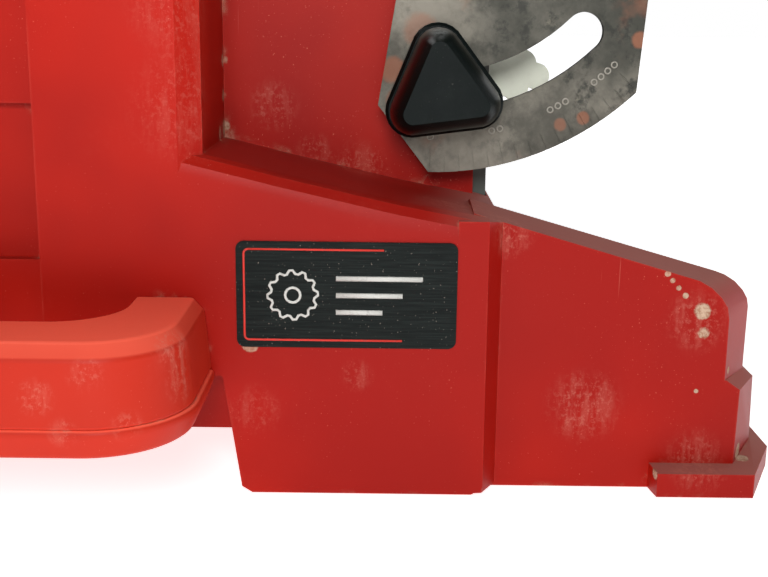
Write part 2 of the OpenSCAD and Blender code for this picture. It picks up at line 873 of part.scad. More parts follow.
function motor_screw_points() = [
    for (a = [45:90:315]) [park_x + (motor_r - 4.5) * cos(a), spindle_z + (motor_r - 4.5) * sin(a)]
];

module motor_housing() {
    vents = 18;
    color("#c8281e") difference() {
        union() {
            rod_y(arm_y1, motor_end, park_x, spindle_z, motor_r);
            // Seat for the switch box
            block([park_x - 26, 184, spindle_z + 40], [park_x + 26, 226, spindle_z + motor_r + 4]);
        }
        rod_y(arm_y1 + 6, motor_end + 1, park_x, spindle_z, motor_r - 3.5);
        rod_y(arm_y1 - 1, arm_y1 + 7, park_x, spindle_z, motor_r - 12);
        for (i = [0:vents - 1]) if (i < 3 || i > 6)
            translate([park_x, 0, spindle_z]) rotate([0, i * 360 / vents, 0])
                block([motor_r - 6, 209, -2], [motor_r + 2, 221, 2]);
        for (p = motor_screw_points()) rod_y(arm_y1 - 1, arm_y1 + 7, p.x, p.y, 2);
    }
}

module motor_end_cap() {
    slots = 12;
    color("#1a1c1e") difference() {
        union() {
            difference() {
                rod_y(motor_end, cap_end, park_x, spindle_z, motor_r);
                rod_y(motor_end - 1, cap_end - 4, park_x, spindle_z, motor_r - 4);
            }
            rod_y(motor_end + 3, cap_end - 3, park_x, spindle_z, rear_bearing_r + 4);
        }
        rod_y(motor_end, motor_end + 12, park_x, spindle_z, rear_bearing_r);
        rod_y(motor_end, motor_end + 14, park_x, spindle_z, shaft_r + 1);
        for (i = [0:slots - 1]) translate([park_x, 0, spindle_z]) rotate([0, i * 360 / slots, 0])
            block([20, cap_end - 5, -2], [38, cap_end + 1, 2]);
    }
}

module stator() {
    color("#8a5a3a") difference() {
        rod_y(180, 206, park_x, spindle_z, motor_r - 3.6);
        rod_y(179, 207, park_x, spindle_z, 30.5);
    }
}

module bearing_ring(y0, y1, outer, inner) {
    difference() {
        rod_y(y0, y1, park_x, spindle_z, outer);
        rod_y(y0 - 1, y1 + 1, park_x, spindle_z, inner);
        rod_y(y1 - 1, y1 + 1, park_x, spindle_z, outer - 2);
    }
    difference() {
        rod_y(y1 - 1, y1, park_x, spindle_z, inner + 2);
        rod_y(y1 - 2, y1 + 1, park_x, spindle_z, inner);
    }
}

module motor_bearings() {
    color("#c0c4c8") {
        bearing_ring(arm_y0 + 3, arm_y1, bearing_r, shaft_r + run_fit);
        bearing_ring(motor_end + 3, motor_end + 12, rear_bearing_r, shaft_r + run_fit);
    }
}

module guard_profile(r) {
    intersection() {
        translate([park_x, spindle_z]) circle(r, $fn = 120);
        translate([park_x - 200, guard_low]) square([400, 300]);
    }
}

module blade_guard() {
    color("#c8281e") difference() {
        along_y(guard_y0 + guard_t, arm_y0) guard_profile(guard_r);
        along_y(guard_y0, arm_y0 - guard_t)
            intersection() {
                translate([park_x, spindle_z]) circle(guard_r - 3, $fn = 120);
                translate([park_x - 200, 0]) square([400, 600]);
            }
        rod_y(arm_y0 - 3, arm_y0 + 1, park_x, spindle_z, 18);
        for (p = motor_screw_points()) rod_y(arm_y0 - 3, arm_y0 + 1, p.x, p.y, 2);
    }
}

module guard_cover() {
    color("#1c1e20") difference() {
        along_y(guard_y0, guard_y0 + guard_t) guard_profile(guard_r);
        for (p = cover_screw_points()) rod_y(guard_y0 - 1, guard_y0 + 3, p.x, p.y, 2);
        // Window over the spindle nut
        rod_y(guard_y0 - 1, guard_y0 + 3, park_x, spindle_z, 14);
    }
}

function cover_screw_points() = [
    for (a = [20, 90, 160]) [park_x + (guard_r - 6.5) * cos(a), spindle_z + (guard_r - 6.5) * sin(a)]
];

module head_screws() {
    color("#909494") {
        for (p = motor_screw_points()) {
            rod_y(arm_y0 - guard_t, arm_y1 + 6, p.x, p.y, 2);
            rod_y(arm_y0 - guard_t - 1.4, arm_y0 - guard_t, p.x, p.y, 3.6);
        }
        for (p = cover_screw_points()) {
            rod_y(guard_y0 - 1.4, guard_y0, p.x, p.y, 3.6);
            rod_y(guard_y0, guard_y0 + guard_t + 4, p.x, p.y, 2);
        }
    }
}

// Water inlet on the guard with its hose spigot
module water_nozzle() {
    color("#2a2c2e") difference() {
        union() {
            rod_z(nozzle_z - 6, nozzle_z + 8, nozzle_x, 140, 7);
            rod_z(nozzle_z + 8, nozzle_z + 26, nozzle_x, 140, 4);
        }
        along_y(120, 160) translate([park_x, spindle_z]) circle(guard_r + 0.02, $fn = 120);
        rod_z(nozzle_z - 7, nozzle_z + 27, nozzle_x, 140, 2);
    }
}

module handle_profile() {
    difference() {
        round_rect([park_x - handle_half, handle_z0], [park_x + handle_half, handle_z1], 24);
        round_rect([park_x - 38, handle_z0 + 22], [park_x + 38, handle_z1 - 21], 14);
    }
}

module handle_inner_half() {
    color("#1c1e20") along_y(arm_y0, arm_y0 + 14) handle_profile();
}

module handle_outer_half() {
    color("#1c1e20") along_y(arm_y0 + 14, arm_y0 + 28) handle_profile();
}

module switch_box() {
    color("#202224") difference() {
        block([park_x - 26, 184, box_z0], [park_x + 26, 228, box_z1]);
        block([park_x - 23, 187, box_z0 - 1], [park_x + 23, 225, box_z1 - 9]);
        for (y = button_ys) rod_z(box_z0, box_z1 + 1, park_x, y, button_r + 0.3);
        rod_y(220, 230, park_x, box_z0 + 8, 6);
    }
}

module button(y) {
    rod_z(box_z1 - 12, box_z1 + 4, park_x, y, button_r);
    rod_z(box_z1 - 12.2, box_z1 - 9.2, park_x, y, button_r + 1);
}

module on_button() {
    color("#2a8a3a") button(button_ys[0]);
}

module off_button() {
    color("#c02020") button(button_ys[1]);
}

module cord_gland() {
    gland_z = box_z0 + 8;
    color("#1a1a1a") difference() {
        union() {
            rod_y(223, 228, park_x, gland_z, 6);
            along_y(228, 233) translate([park_x, gland_z]) circle(9, $fn = 6);
            rod_y(233, 243, park_x, gland_z, 7.5);
        }
        rod_y(220, 245, park_x, gland_z, 3.75);
    }
}

// ---------------------------------------------------------------- spindle

module spindle_shaft() {
    color("#b0b4b8") rod_y(131, 238, park_x, spindle_z, shaft_r);
}

module rotor() {
    color("#70685e") difference() {
        rod_y(180, 206, park_x, spindle_z, 30);
        rod_y(179, 207, park_x, spindle_z, shaft_r);
        for (a = [0:30:330]) translate([park_x, 0, spindle_z]) rotate([0, a, 0])
            block([26, 179, -1], [31, 207, 1]);
    }
}

module cooling_fan() {
    color("#303234") {
        difference() {
            rod_y(210, 213, park_x, spindle_z, 42);
            rod_y(209, 214, park_x, spindle_z, shaft_r);
        }
        for (a = [0:30:330]) translate([park_x, 0, spindle_z]) rotate([0, a, 0])
            block([14, 213, -1], [41, 220, 1]);
    }
}

module saw_blade() {
    color("#a8acb0") difference() {
        union() {
            rod_y(cut_y - blade_t / 2 + 0.2, cut_y + blade_t / 2 - 0.2, park_x, spindle_z, blade_r - 6,
                  $fn = 180);
            difference() {
                rod_y(cut_y - blade_t / 2, cut_y + blade_t / 2, park_x, spindle_z, blade_r, $fn = 180);
                rod_y(cut_y - 5, cut_y + 5, park_x, spindle_z, blade_r - 6, $fn = 180);
            }
        }
        rod_y(cut_y - 5, cut_y + 5, park_x, spindle_z, 12.7);
    }
}

// Two clamping flanges and the spindle nut
module blade_flanges() {
    in0 = cut_y + blade_t / 2 - 0.2;
    out1 = cut_y - blade_t / 2 + 0.2;
    color("#8c9094") difference() {
        union() {
            rod_y(in0, in0 + 6, park_x, spindle_z, 28);
            rod_y(out1, in0, park_x, spindle_z, 12.7);
            rod_y(out1 - 4, out1, park_x, spindle_z, 28);
            along_y(out1 - 10, out1 - 4) translate([park_x, spindle_z]) circle(10.5, $fn = 6);
        }
        rod_y(130, in0 + 7, park_x, spindle_z, shaft_r);
    }
}

// ---------------------------------------------------------------- fence and angle stop

module fence_bar() {
    color("#a8acb0") difference() {
        block([fence_x0, fence_y0, table_z], [fence_x1, fence_y1, table_z + fence_h]);
        block([fence_x0 - 1, fence_y0 - 1, table_z + 5], [fence_x0 + 4, fence_y1 + 1, table_z + 12]);
    }
}

// Printed rule on the table in front of the fence, raised lines every 10 mm
module fence_scale() {
    color("#d8d8d0") for (i = [0:31]) {
        y = 122 - i * 10;
        len = i % 5 == 0 ? 9 : 5;
        block([fence_x1 + 1, y - 0.4, table_z], [fence_x1 + 1 + len, y + 0.4, table_z + 0.3]);
    }
}

module stop_block() {
    top = table_z + fence_h;
    ledge = table_z + 11;
    color("#26292b") difference() {
        union() {
            block([fence_x0 - 5, stop_y - 20, table_z + 0.6], [fence_x1 + 4, stop_y + 20, top + 8]);
            block([fence_x1, stop_y - 20, table_z + 0.6], [stop_x + 12, stop_y + 20, ledge]);
            rod_z(ledge - 1, ledge + 22, stop_x, stop_y, pin_r);
        }
        block([fence_x0 - fit, stop_y - 21, table_z], [fence_x1 + fit, stop_y + 21, top + fit]);
        rod_z(top, top + 9, (fence_x0 + fence_x1) / 2, stop_y, 3 + run_fit);
    }
}

module stop_arm() {
    low = table_z + 11 + fit;
    color("#a8acb0") difference() {
        union() {
            rod_z(low, low + 11, stop_x, stop_y, 14);
            block([stop_x, stop_y - 12, low], [stop_x + stop_len, stop_y + 12, low + 11]);
        }
        rod_z(low - 1, low + 12, stop_x, stop_y, pin_r + run_fit);
        block([stop_x + 25, stop_y - 3, low + 8], [stop_x + stop_len - 10, stop_y + 3, low + 12]);
    }
}

module block_knob() {
    top = table_z + fence_h;
    color("#121416")
        hand_knob((fence_x0 + fence_x1) / 2, stop_y, top + 9, 9, 12, top + fit + 0.2, 3);
}

module arm_knob() {
    low = table_z + 11 + fit + 11 + 0.5;
    color("#121416") difference() {
        hand_knob(stop_x, stop_y, low, 13, 14, low - 0.1, 6);
        rod_z(low - 1, low + 11, stop_x, stop_y, pin_r + run_fit);
    }
}

// ---------------------------------------------------------------- drawing

end_housing_right();
end_housing_left();
carry_handle_right();
carry_handle_left();
carry_handle_covers();
rubber_feet();
base_rails();
water_tub();
drain_plug();
pump_housing();
pump_impeller();
table_main();
table_strip();
table_bearers();
pivot_plates();
pivot_bushes();
clamp_studs();
tilt_stops();
fence_bar();
fence_scale();
name_plate();
gantry_plate_right();
gantry_plate_left();
guide_rail();
gantry_bolts();
pivot_bolts();
tilt_knob_right();
tilt_knob_left();
carriage_frame();
roller_pins();
roller_front();
roller_rear();
glide_pads();
carriage_lock_knob();
head_pivot_pin();
depth_stop_screw();
head_arm();
motor_housing();
motor_end_cap();
stator();
motor_bearings();
blade_guard();
guard_cover();
head_screws();
water_nozzle();
handle_inner_half();
handle_outer_half();
switch_box();
on_button();
off_button();
cord_gland();
spindle_shaft();
rotor();
cooling_fan();
saw_blade();
blade_flanges();
stop_block();
stop_arm();
block_knob();
arm_knob();
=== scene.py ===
import math

import bpy
from mathutils import Matrix, Vector


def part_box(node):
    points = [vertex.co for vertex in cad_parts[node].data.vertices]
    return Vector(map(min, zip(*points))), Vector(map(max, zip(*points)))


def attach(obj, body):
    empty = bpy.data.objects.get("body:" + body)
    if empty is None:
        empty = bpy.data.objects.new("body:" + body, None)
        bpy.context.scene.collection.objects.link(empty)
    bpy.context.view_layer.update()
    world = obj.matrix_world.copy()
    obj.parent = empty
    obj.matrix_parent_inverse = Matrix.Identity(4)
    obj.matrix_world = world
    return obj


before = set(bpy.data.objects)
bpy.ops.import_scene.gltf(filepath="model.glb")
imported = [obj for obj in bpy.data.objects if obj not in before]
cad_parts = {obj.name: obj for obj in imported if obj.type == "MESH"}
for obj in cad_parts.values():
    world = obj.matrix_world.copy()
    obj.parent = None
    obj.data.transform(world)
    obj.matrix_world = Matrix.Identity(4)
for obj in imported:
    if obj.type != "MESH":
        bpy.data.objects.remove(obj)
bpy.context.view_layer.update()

MM = 0.001
FACE_X = 0.500
CUT_Y = 0.1435
TABLE_Z = 0.1905
PLATE_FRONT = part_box("gantry_plate_right")[1].x
SCALE_ZERO = -0.65
LENS = 54.84
CAMERA_PLACE = (FACE_X + 0.342, 0.128, 0.147)
KEY_PLACE = (FACE_X + 0.60, 0.09, 0.37)
KEY_TARGET = (FACE_X, 0.10, 0.07)
FILL_PLACE = (-0.6, -1.6, 2.2)


# ------------------------------------------------------------------ camera, light and floor

def rgb(red, green, blue):
    """Linear colour from the usual 0 to 255 values."""
    def linear(value):
        value /= 255
        return value / 12.92 if value <= 0.04045 else ((value + 0.055) / 1.055) ** 2.4
    return (linear(red), linear(green), linear(blue), 1)


def make_camera():
    """A close view of the +X end, looking along -X and a little down."""
    pitch, roll = math.radians(13.2), math.radians(0.7)
    forward = Vector((-math.cos(pitch), 0, -math.sin(pitch)))
    right = Vector((0, 1, 0))
    up = right.cross(forward)
    x_axis = right * math.cos(roll) + up * math.sin(roll)
    y_axis = up * math.cos(roll) - right * math.sin(roll)
    turn = Matrix((x_axis, y_axis, -forward)).transposed().to_4x4()
    camera = bpy.data.objects.new("camera", bpy.data.cameras.new("camera"))
    camera.data.lens = LENS
    camera.data.sensor_width = 36
    camera.data.clip_start = 0.01
    camera.matrix_world = Matrix.Translation(CAMERA_PLACE) @ turn
    bpy.context.collection.objects.link(camera)
    bpy.context.scene.camera = camera


def area_light(name, place, target, size, power):
    light = bpy.data.objects.new(name, bpy.data.lights.new(name, "AREA"))
    light.data.shape = "DISK"
    light.data.size = size
    light.data.energy = power
    light.location = place
    light.rotation_euler = (Vector(target) - Vector(place)).to_track_quat("-Z", "Y").to_euler()
    bpy.context.collection.objects.link(light)


def make_world():
    """White to the camera; as a light it is bright behind the end, softer at the sides, dim in front."""
    world = bpy.data.worlds.new("studio")
    world.use_nodes = True
    tree = world.node_tree
    background = tree.nodes["Background"]
    place = tree.nodes.new("ShaderNodeTexCoord")
    split = tree.nodes.new("ShaderNodeSeparateXYZ")
    tree.links.new(place.outputs["Generated"], split.inputs[0])

    def falloff(axis, low, high, at_low, at_high):
        node = tree.nodes.new("ShaderNodeMapRange")
        node.interpolation_type = "SMOOTHSTEP"
        tree.links.new(split.outputs[axis], node.inputs["Value"])
        for name, value in (("From Min", low), ("From Max", high), ("To Min", at_low), ("To Max", at_high)):
            node.inputs[name].default_value = value
        return node.outputs[0]
    glow = tree.nodes.new("ShaderNodeMath")
    glow.operation = "MULTIPLY"
    tree.links.new(falloff("X", -0.5, 0.75, 1.0, 0.07), glow.inputs[0])
    tree.links.new(falloff("Z", 0.2, 1.0, 1.0, 0.4), glow.inputs[1])
    rays = tree.nodes.new("ShaderNodeLightPath")
    strength = tree.nodes.new("ShaderNodeMix")
    strength.data_type = "FLOAT"
    strength.inputs[3].default_value = 1.0
    tree.links.new(rays.outputs["Is Camera Ray"], strength.inputs[0])
    tree.links.new(glow.outputs[0], strength.inputs[2])
    background.inputs["Color"].default_value = (1, 1, 1, 1)
    tree.links.new(strength.outputs[0], background.inputs["Strength"])
    bpy.context.scene.world = world


def make_studio():
    make_world()
    bpy.context.scene.view_settings.view_transform = "Standard"
    area_light("key", KEY_PLACE, KEY_TARGET, 0.25, 3.1)
    area_light("fill", FILL_PLACE, (0, 0, 0.2), 1.5, 30)
    mesh = bpy.data.meshes.new("floor")
    half = 8
    mesh.from_pydata([(-half, -half, 0), (half, -half, 0), (half, half, 0), (-half, half, 0)], [],
                     [(0, 1, 2, 3)])
    floor = bpy.data.objects.new("floor", mesh)
    bpy.context.collection.objects.link(floor)
    graph = Graph("floor_white")
    graph.set("Base Color", (0.97, 0.97, 0.97, 1))
    graph.set("Emission Color", (1, 1, 1, 1))
    graph.set("Emission Strength", 0.8)
    graph.set("Roughness", 0.9)
    graph.set("Specular IOR Level", 0.1)
    mesh.materials.append(graph.material)


# ------------------------------------------------------------------ shader graph helper

class Graph:
    """A material with short names for the shader nodes that the materials share."""

    def __init__(self, name):
        self.material = bpy.data.materials.new(name)
        self.material.use_nodes = True
        self.tree = self.material.node_tree
        self.tree.nodes.clear()
        self.shader = self.add("ShaderNodeBsdfPrincipled")
        output = self.add("ShaderNodeOutputMaterial")
        self.tree.links.new(self.shader.outputs[0], output.inputs[0])
        place = self.add("ShaderNodeTexCoord")
        self.place = place.outputs["Object"]
        self.facing = place.outputs["Normal"]

    def add(self, kind, **settings):
        node = self.tree.nodes.new(kind)
        for key, value in settings.items():
            setattr(node, key, value)
        return node

    def feed(self, socket, value):
        if isinstance(value, bpy.types.NodeSocket):
            self.tree.links.new(value, socket)
        else:
            socket.default_value = value

    def set(self, name, value):
        self.feed(self.shader.inputs[name], value)

    def math(self, operation, a, b=0.0, clamp=False):
        node = self.add("ShaderNodeMath", operation=operation, use_clamp=clamp)
        self.feed(node.inputs[0], a)
        self.feed(node.inputs[1], b)
        return node.outputs[0]

    def times(self, *values):
        out = values[0]
        for value in values[1:]:
            out = self.math("MULTIPLY", out, value)
        return out

    def plus(self, *values):
        out = values[0]
        for value in values[1:]:
            out = self.math("ADD", out, value, clamp=True)
        return out

    def stretched(self, x, y, z, turn=(0, 0, 0)):
        """Object coordinates scaled by axis, for scratches and brushing."""
        node = self.add("ShaderNodeMapping")
        self.feed(node.inputs["Vector"], self.place)
        node.inputs["Rotation"].default_value = [math.radians(a) for a in turn]
        node.inputs["Scale"].default_value = (x, y, z)
        return node.outputs[0]

    def noise(self, scale, detail=4, rough=0.6, where=None, distort=0.0):
        node = self.add("ShaderNodeTexNoise")
        self.feed(node.inputs["Vector"], where or self.place)
        node.inputs["Scale"].default_value = scale
        node.inputs["Detail"].default_value = detail
        node.inputs["Roughness"].default_value = rough
        node.inputs["Distortion"].default_value = distort
        return node.outputs["Fac"]

    def band(self, value, low, high):
        """0 below low, 1 above high, smooth between; low above high turns it round."""
        node = self.add("ShaderNodeMapRange", interpolation_type="SMOOTHSTEP")
        self.feed(node.inputs["Value"], value)
        flip = low > high
        node.inputs["From Min"].default_value = min(low, high)
        node.inputs["From Max"].default_value = max(low, high)
        node.inputs["To Min"].default_value = 1.0 if flip else 0.0
        node.inputs["To Max"].default_value = 0.0 if flip else 1.0
        return node.outputs[0]

    def mix(self, amount, a, b):
        node = self.add("ShaderNodeMix", data_type="RGBA")
        self.feed(node.inputs["Factor"], amount)
        self.feed(node.inputs[6], a)
        self.feed(node.inputs[7], b)
        return node.outputs[2]

    def blend(self, amount, a, b):
        """Number between a and b."""
        node = self.add("ShaderNodeMix", data_type="FLOAT")
        self.feed(node.inputs[0], amount)
        self.feed(node.inputs[2], a)
        self.feed(node.inputs[3], b)
        return node.outputs[0]

    def near(self, point, radius, soft=0.6):
        """1 within soft * radius of a point, falling to 0 at the radius."""
        node = self.add("ShaderNodeVectorMath", operation="DISTANCE")
        self.feed(node.inputs[0], self.place)
        node.inputs[1].default_value = point
        return self.band(node.outputs["Value"], radius, radius * soft)

    def part(self, vector, axis):
        node = self.add("ShaderNodeSeparateXYZ")
        self.feed(node.inputs[0], vector)
        return node.outputs[axis]

    def hollow(self, distance, low=0.55, high=0.9):
        """1 in creases that are about this deep, 0 in the open."""
        node = self.add("ShaderNodeAmbientOcclusion", samples=4)
        node.inputs["Distance"].default_value = distance
        return self.band(node.outputs["AO"], high, low)

    def edges(self, radius):
        """1 on sharp outer edges within a radius, from how far the rounded normal turns."""
        node = self.add("ShaderNodeBevel", samples=4)
        node.inputs["Radius"].default_value = radius
        dot = self.add("ShaderNodeVectorMath", operation="DOT_PRODUCT")
        geometry = self.add("ShaderNodeNewGeometry")
        self.feed(dot.inputs[0], node.outputs[0])
        self.feed(dot.inputs[1], geometry.outputs["Normal"])
        return self.band(dot.outputs["Value"], 0.99, 0.85)

    def bump(self, height, strength, distance=0.001):
        node = self.add("ShaderNodeBump")
        node.inputs["Strength"].default_value = strength
        node.inputs["Distance"].default_value = distance
        self.feed(node.inputs["Height"], height)
        previous = self.shader.inputs["Normal"]
        if previous.is_linked:
            self.feed(node.inputs["Normal"], previous.links[0].from_socket)
        self.feed(previous, node.outputs[0])


# ------------------------------------------------------------------ materials

CEMENT = rgb(196, 172, 148)


def red_plastic(name, base, deep, film=0.5, deposits=(), smears=(), dusty_side=0.164, top_dust=0.85,
                top_highlight_paint=None):
    """Moulded red plastic with cement film, specks, scratches, deposits and dust on the outer tops, and a
    painted highlight on upward faces when a highlight colour is given.
    """
    g = Graph(name)
    colour = g.mix(g.band(g.noise(9, 3), 0.35, 0.7), deep, base)
    # Hazy film in clouds
    clouds = g.band(g.noise(22, 6, 0.65), 0.5, 0.8)
    haze = g.times(clouds, g.band(g.noise(380, 3, 0.7), 0.42, 0.72), film)
    colour = g.mix(haze, colour, rgb(196, 84, 70))
    # Specks of dust, thicker in patches
    patches = g.band(g.noise(30, 5, 0.7), 0.42, 0.66)
    specks = g.times(g.band(g.noise(1500, 2, 0.5), 0.69, 0.74), patches)
    colour = g.mix(g.times(specks, 0.6), colour, rgb(214, 128, 108))
    # Scratches in two directions
    rare = g.band(g.noise(14, 3), 0.54, 0.68)
    for turn, stretch in (((25, 0, 0), (900, 900, 22)), ((-50, 0, 0), (700, 700, 16))):
        lines = g.noise(1, 2, 0.5, where=g.stretched(*stretch, turn=turn))
        colour = g.mix(g.times(g.band(lines, 0.72, 0.76), rare, 0.5), colour, rgb(216, 120, 100))
    # Upward faces: a painted highlight where a highlight colour is given, then grey dust beyond the side
    # step, the others only a little
    up = g.band(g.part(g.facing, "Z"), 0.45, 0.93)
    # Painted highlight: upward faces are painted the given lighter colour, standing in for light falling
    # from above
    if top_highlight_paint:
        colour = g.mix(up, colour, top_highlight_paint)
    outer = g.band(g.math("ABSOLUTE", g.part(g.place, "Y")), dusty_side - 0.026, dusty_side)
    top = g.times(up, g.blend(outer, 0.04, top_dust), g.blend(g.noise(60, 4), 0.75, 1.1))
    colour = g.mix(top, colour, rgb(166, 108, 98))
    # Smeared film at given places
    streaks = g.noise(1, 5, 0.7, where=g.stretched(260, 260, 60))
    grain = g.noise(620, 4, 0.75)
    texture = g.plus(g.times(g.band(streaks, 0.45, 0.62), 0.5), g.times(g.band(grain, 0.5, 0.62), 0.7))
    cloudy = g.blend(g.noise(130, 6, 0.75), 0.2, 1.7)
    for point, radius, amount in smears:
        near = g.math("MULTIPLY", g.near(point, radius * 1.3, 0.0), cloudy)
        patch = g.times(g.band(near, 0.1, 0.8), amount * 0.4, texture)
        colour = g.mix(patch, colour, rgb(204, 130, 112))
    # Cement in the creases and caked at given places, with a ragged outline
    ragged = g.noise(420, 6, 0.75)
    crease = g.times(g.hollow(0.005, 0.4, 0.75), g.band(g.noise(70, 6, 0.7), 0.52, 0.7), 0.7)
    cake = crease
    for point, radius, amount in deposits:
        patch = g.math("MULTIPLY", g.near(point, radius, 0.0), g.blend(ragged, 0.5, 1.7))
        cake = g.plus(cake, g.times(g.band(patch, 0.42, 0.62), amount))
    colour = g.mix(cake, colour, g.mix(g.band(grain, 0.35, 0.6), rgb(158, 124, 98), CEMENT))
    # Rubbed edges
    worn = g.times(g.edges(0.001), g.band(g.noise(45, 5, 0.7), 0.35, 0.75))
    colour = g.mix(g.times(worn, 0.4), colour, rgb(206, 86, 70))
    g.set("Base Color", colour)
    dusty = g.plus(haze, specks, top, cake)
    g.set("Roughness", g.blend(dusty, 0.45, 0.85))
    g.set("Specular IOR Level", g.blend(dusty, 0.16, 0.06))
    g.bump(g.noise(1100, 2, 0.5), 0.05, 0.0004)
    g.bump(g.times(cake, ragged), 0.5, 0.0008)
    return g.material


def black_plastic(name, base, dust=0.35, rough=0.42, grain=900, top_dust=0.0):
    g = Graph(name)
    film = g.times(g.band(g.noise(35, 6, 0.7), 0.5, 0.75), dust)
    specks = g.times(g.band(g.noise(1300, 2, 0.5), 0.68, 0.73), g.band(g.noise(40, 4), 0.4, 0.6),
                     dust * 1.4)
    up = g.times(g.band(g.part(g.facing, "Z"), 0.6, 0.98), dust)
    colour = g.mix(film, base, rgb(54, 60, 58))
    colour = g.mix(g.times(up, g.noise(90, 5)), colour, rgb(128, 124, 116))
    settled = g.times(g.band(g.part(g.facing, "Z"), 0.75, 1.0), top_dust, g.band(g.noise(500, 4), 0.3, 0.6))
    colour = g.mix(settled, colour, rgb(120, 124, 124))
    colour = g.mix(specks, colour, rgb(150, 146, 138))
    g.set("Base Color", colour)
    g.set("Roughness", g.blend(film, rough, 0.8))
    g.set("Specular IOR Level", 0.14)
    g.bump(g.noise(grain, 3, 0.6), 0.12, 0.0004)
    return g.material


def tarnished_steel(name):
    """Sheet steel gone grey and mottled, with copper-coloured tints, rust and dirt."""
    g = Graph(name)
    blotch = g.noise(26, 8, 0.68)
    colour = g.mix(g.band(blotch, 0.38, 0.62), rgb(82, 80, 72), rgb(126, 121, 110))
    pits = g.band(g.noise(170, 7, 0.72), 0.48, 0.64)
    # Darker over the top and at the scale's far corner
    high = g.band(g.part(g.place, "Z"), 0.112, 0.140)
    corner = g.near((PLATE_FRONT, 0.204, 0.122), 0.022, 0.2)
    upper = g.times(high, g.band(g.part(g.place, "Y"), 0.150, 0.166))
    colour = g.mix(g.times(upper, 0.6), colour, rgb(48, 50, 44))
    dark_zone = g.plus(g.times(g.band(g.noise(17, 4, 0.6), 0.42, 0.6), 0.6), g.times(upper, 0.8), corner)
    colour = g.mix(g.times(pits, dark_zone, 0.85), colour, rgb(38, 40, 36))
    tint = g.times(g.band(g.noise(31, 5, 0.6), 0.57, 0.7), 0.5)
    ragged = g.noise(240, 6, 0.7)
    for point, radius, amount in COPPER_TINTS:
        patch = g.math("MULTIPLY", g.near((PLATE_FRONT, *point), radius, 0.0), g.blend(ragged, 0.5, 1.6))
        tint = g.plus(tint, g.times(g.band(patch, 0.3, 0.7), amount))
    colour = g.mix(tint, colour, rgb(140, 92, 70))
    crust = g.band(g.noise(48, 7, 0.75), 0.6, 0.7)
    colour = g.mix(g.times(crust, 0.4), colour, rgb(142, 136, 118))
    brush = g.noise(1, 3, 0.6, where=g.stretched(60, 900, 120))
    g.set("Base Color", colour)
    g.set("Metallic", 0.5)
    g.set("Roughness", g.blend(g.band(blotch, 0.3, 0.7), 0.66, 0.5))
    g.bump(g.noise(420, 5, 0.7), 0.12, 0.0003)
    g.bump(brush, 0.05, 0.0002)
    return g.material


def plain_metal(name, base, rough=0.35, brush=(80, 900, 900), stain=0.25, metallic=1.0):
    """Machined, drawn or plated metal with brushing and light stains."""
    g = Graph(name)
    stains = g.times(g.band(g.noise(40, 6, 0.7), 0.5, 0.72), stain)
    colour = g.mix(stains, base, rgb(120, 112, 100))
    g.set("Base Color", colour)
    g.set("Metallic", metallic)
    lines = g.noise(1, 3, 0.6, where=g.stretched(*brush))
    g.set("Roughness", g.blend(lines, rough - 0.08, rough + 0.14))
    g.bump(lines, 0.06, 0.0002)
    return g.material


def galvanised(name):
    """Zinc-coated sheet with its spangle, water marks and cement film."""
    g = Graph(name)
    spangle = g.add("ShaderNodeTexVoronoi")
    g.feed(spangle.inputs["Vector"], g.place)
    spangle.inputs["Scale"].default_value = 120
    tone = g.part(spangle.outputs["Color"], "X")
    colour = g.mix(g.times(tone, 0.5), rgb(150, 153, 154), rgb(186, 188, 188))
    marks = g.band(g.noise(14, 8, 0.7, distort=0.6), 0.5, 0.66)
    colour = g.mix(g.times(marks, 0.45), colour, rgb(196, 190, 178))
    g.set("Base Color", colour)
    g.set("Metallic", g.blend(marks, 0.85, 0.2))
    g.set("Roughness", g.blend(tone, 0.34, 0.5))
    g.bump(g.noise(300, 4), 0.05, 0.0003)
    return g.material


def painted(name, base):
    """Powder coat with orange peel, chips at the edges and a little dust."""
    g = Graph(name)
    dust = g.times(g.band(g.noise(30, 6, 0.7), 0.5, 0.75), 0.35)
    colour = g.mix(dust, base, rgb(190, 120, 104))
    chips = g.times(g.edges(0.0008), g.band(g.noise(160, 5, 0.7), 0.56, 0.6))
    colour = g.mix(chips, colour, rgb(110, 108, 102))
    g.set("Base Color", colour)
    g.set("Roughness", g.blend(dust, 0.36, 0.75))
    g.set("Specular IOR Level", 0.3)
    g.bump(g.noise(520, 2, 0.5), 0.08, 0.0004)
    return g.material


def rubber(name, base):
    g = Graph(name)
    dust = g.times(g.band(g.noise(60, 5, 0.7), 0.45, 0.75), 0.5)
    g.set("Base Color", g.mix(dust, base, rgb(110, 104, 96)))
    g.set("Roughness", 0.88)
    g.set("Specular IOR Level", 0.25)
    g.bump(g.noise(800, 3, 0.6), 0.2, 0.0004)
    return g.material


def plate_film(name):
    """Black printed film with fine horizontal brushing."""
    g = Graph(name)
    lines = g.noise(1, 3, 0.7, where=g.stretched(200, 60, 2600))
    colour = g.mix(g.band(lines, 0.35, 0.75), rgb(12, 17, 16), rgb(30, 36, 34))
    specks = g.band(g.noise(1500, 2, 0.5), 0.7, 0.74)
    colour = g.mix(g.times(specks, 0.7), colour, rgb(150, 140, 130))
    g.set("Base Color", colour)
    g.set("Roughness", 0.5)
    g.set("Specular IOR Level", 0.1)
    g.bump(lines, 0.05, 0.0002)
    return g.material


def print_ink(name, base):
    g = Graph(name)
    worn = g.times(g.band(g.noise(500, 4, 0.7), 0.5, 0.7), 0.3)
    g.set("Base Color", g.mix(worn, base, rgb(90, 84, 80)))
    g.set("Roughness", 0.55)
    g.set("Specular IOR Level", 0.25)
    return g.material


# ------------------------------------------------------------------ CAD nodes: rounding and paint

